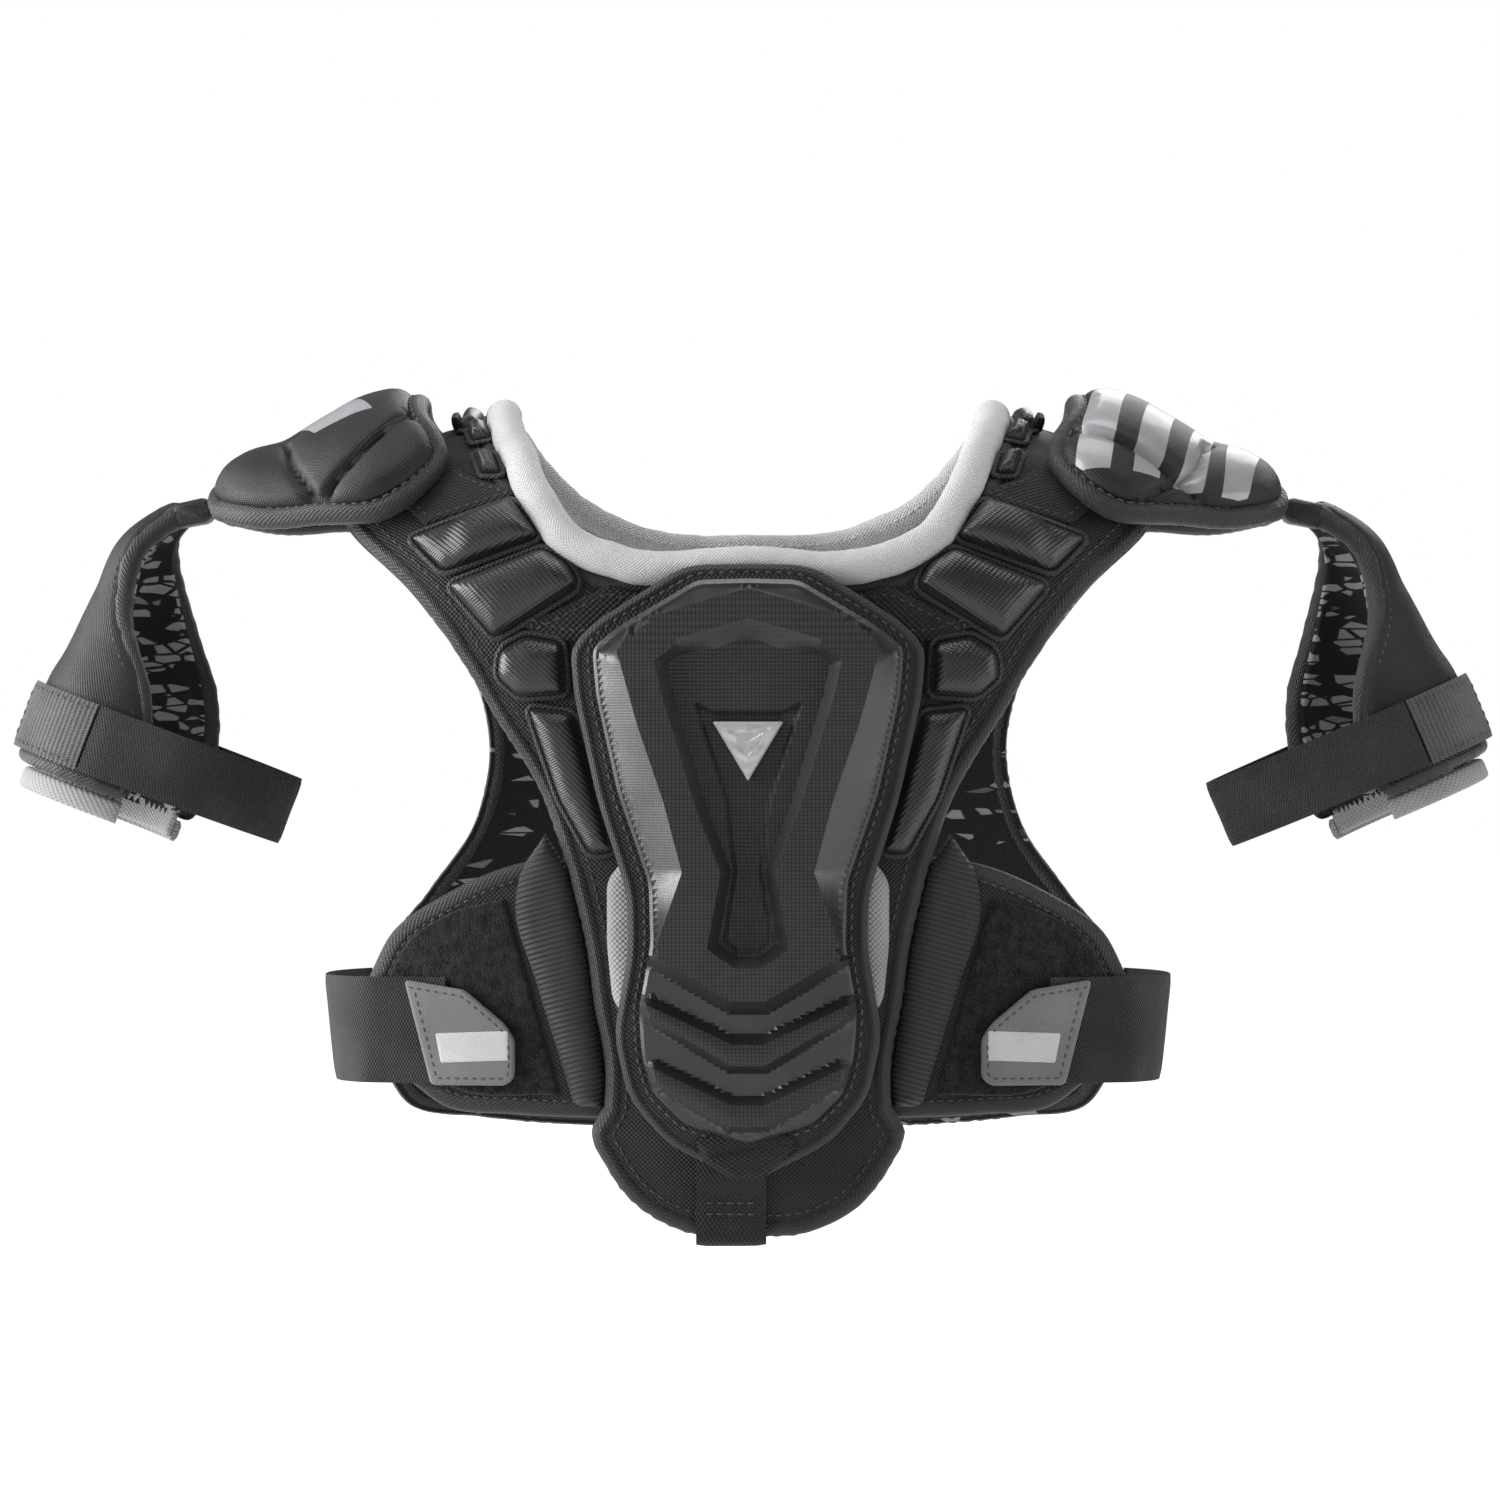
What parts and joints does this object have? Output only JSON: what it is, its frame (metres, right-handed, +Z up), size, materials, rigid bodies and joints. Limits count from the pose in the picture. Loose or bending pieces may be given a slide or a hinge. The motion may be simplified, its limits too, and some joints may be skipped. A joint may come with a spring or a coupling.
{
  "type": "youth hockey shoulder pads",
  "caption": "Padded youth shoulder-pad vest with a moulded sternum guard, shoulder caps, upper-arm guards and elastic side belts.",
  "frame": {"origin": "midway between the shoulders, level with the surface that rests on them", "axes": "+X to the wearer's left, +Y to the wearer's back, +Z up"},
  "size_m": [0.5391, 0.1951, 0.3102],
  "materials": {
    "arm_cloth": "knit over foam",
    "badge_silver": "satin",
    "binding_cloth": "bound edge",
    "black_cloth": "woven polyester over foam",
    "black_elastic": "woven elastic",
    "black_webbing": "woven webbing",
    "cap_cloth": "knit over quilted foam",
    "grey_cloth": "knit",
    "grey_lining": "brushed lining",
    "guard_cloth": "cloth with bound edge",
    "hook_webbing": "webbing with hook face",
    "loop_pile": "loop pile",
    "moulded_foam": "pressed foam with fine dots",
    "pale_foam": "foam under thin cloth",
    "printed_lining": "printed lining",
    "rib_cloth": "smooth knit over foam",
    "white_cloth": "soft knit"
  },
  "bodies": {
    "vest": {"back_liner": "black_cloth", "back_neck_lining": "grey_lining", "back_neck_roll": "grey_lining", "chest_pad": "pale_foam", "collar_roll": "white_cloth", "front_liner": "black_cloth", "left_belt_anchor": "black_webbing", "left_blade_pad": "rib_cloth", "left_cap_anchor": "black_webbing", "left_cap_strap": "black_webbing", "left_guard_tab": "black_webbing", "left_loop_patch": "loop_pile", "left_lower_rib": "rib_cloth", "left_middle_rib": "rib_cloth", "left_side_pad": "black_cloth", "left_side_rib": "rib_cloth", "left_top_ribs": "rib_cloth", "left_upper_rib": "rib_cloth", "left_wing": "black_cloth", "right_belt_anchor": "black_webbing", "right_blade_pad": "rib_cloth", "right_cap_anchor": "black_webbing", "right_cap_strap": "black_webbing", "right_guard_tab": "black_webbing", "right_loop_patch": "loop_pile", "right_lower_rib": "rib_cloth", "right_middle_rib": "rib_cloth", "right_side_pad": "black_cloth", "right_side_rib": "rib_cloth", "right_top_ribs": "rib_cloth", "right_upper_rib": "rib_cloth", "right_wing": "black_cloth", "spine_pad": "rib_cloth"},
    "sternum_guard": {"guard_pad": "guard_cloth", "guard_shell": "moulded_foam", "guard_badge": "badge_silver", "guard_foot": "black_webbing"},
    "right_cap": {"right_cap_base": "binding_cloth", "right_cap_pad": "cap_cloth"},
    "right_arm": {"right_arm_pad": "arm_cloth", "right_arm_lining": "printed_lining", "right_arm_flap": "grey_cloth", "right_arm_strap": "black_elastic", "right_arm_patch": "loop_pile"},
    "right_arm_hook": {"right_arm_tab": "hook_webbing"},
    "right_side_belt": {"right_belt": "black_elastic", "right_belt_tab": "hook_webbing", "right_belt_hook": "hook_webbing"},
    "left_cap": {"left_cap_base": "binding_cloth", "left_cap_pad": "cap_cloth"},
    "left_arm": {"left_arm_pad": "arm_cloth", "left_arm_lining": "printed_lining", "left_arm_flap": "grey_cloth", "left_arm_strap": "black_elastic", "left_arm_patch": "loop_pile"},
    "left_arm_hook": {"left_arm_tab": "hook_webbing"},
    "left_side_belt": {"left_belt": "black_elastic", "left_belt_tab": "hook_webbing", "left_belt_hook": "hook_webbing"}
  },
  "joints": [
    {"name": "guard_lift", "type": "hinge", "parent": "vest", "child": "sternum_guard", "pos_m": [0, -0.08764, -0.0455], "axis": [-1, 0, 0], "range_deg": [0, 50]},
    {"name": "right_cap_lift", "type": "hinge", "parent": "vest", "child": "right_cap", "pos_m": [-0.1105, 0, 0.0085], "axis": [0, 1, 0], "range_deg": [0, 30]},
    {"name": "right_arm_swing", "type": "hinge", "parent": "right_cap", "child": "right_arm", "pos_m": [-0.199, 0, -0.024], "axis": [0, 1, 0], "range_deg": [-15, 40]},
    {"name": "right_arm_tab_peel", "type": "hinge", "parent": "right_arm", "child": "right_arm_hook", "pos_m": [-0.23754, -0.03701, -0.10673], "axis": [0.3518, 0, 0.9361], "range_deg": [0, 90]},
    {"name": "right_belt_swing", "type": "hinge", "parent": "vest", "child": "right_side_belt", "pos_m": [-0.1396, 0.0619, -0.211], "axis": [0, 0, -1], "range_deg": [0, 70]},
    {"name": "left_cap_lift", "type": "hinge", "parent": "vest", "child": "left_cap", "pos_m": [0.1105, 0, 0.0085], "axis": [0, -1, 0], "range_deg": [0, 30]},
    {"name": "left_arm_swing", "type": "hinge", "parent": "left_cap", "child": "left_arm", "pos_m": [0.199, 0, -0.024], "axis": [0, -1, 0], "range_deg": [-15, 40]},
    {"name": "left_arm_tab_peel", "type": "hinge", "parent": "left_arm", "child": "left_arm_hook", "pos_m": [0.24111, -0.03701, -0.10497], "axis": [0.3923, 0, -0.9198], "range_deg": [0, 90]},
    {"name": "left_belt_swing", "type": "hinge", "parent": "vest", "child": "left_side_belt", "pos_m": [0.1396, 0.0619, -0.211], "axis": [0, 0, 1], "range_deg": [0, 70]}
  ]
}
